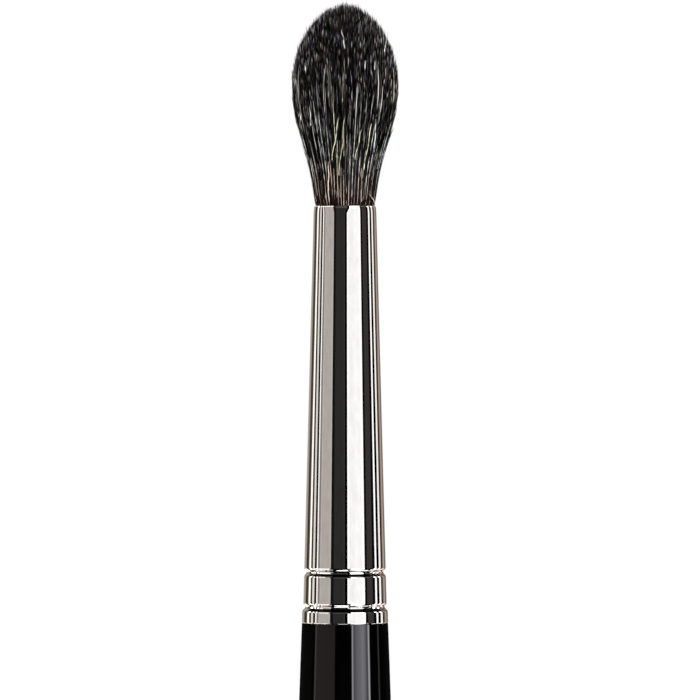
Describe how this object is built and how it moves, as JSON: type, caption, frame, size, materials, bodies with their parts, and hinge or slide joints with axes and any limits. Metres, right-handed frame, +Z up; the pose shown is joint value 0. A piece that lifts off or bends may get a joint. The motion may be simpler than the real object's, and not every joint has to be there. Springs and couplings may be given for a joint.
{
  "type": "eyeshadow brush",
  "caption": "Slim eyeshadow blending brush with a drop-shaped dark hair head, a tapered plated ferrule with crimped rings and a glossy black turned handle.",
  "frame": {"origin": "middle of the brush's length, on the surface that it lies on", "axes": "+X along the brush's axis towards the hair, +Z up from the surface, +Y to the left seen along +X"},
  "size_m": [0.175, 0.01, 0.0101],
  "materials": {
    "hair": "fine natural hair, matte with a soft sheen",
    "plated_metal": "polished plating",
    "black_lacquer": "high gloss",
    "wood": "bare turned wood",
    "thread": "waxed thread",
    "resin": "cured resin",
    "glue": "cured glue"
  },
  "bodies": {
    "root": {"hair_tuft": "hair", "hair_root": "hair", "binding_thread": "thread", "root_resin": "resin", "ferrule": "plated_metal", "tenon_glue": "glue", "handle_core": "wood", "handle_lacquer": "black_lacquer"}
  },
  "joints": []
}
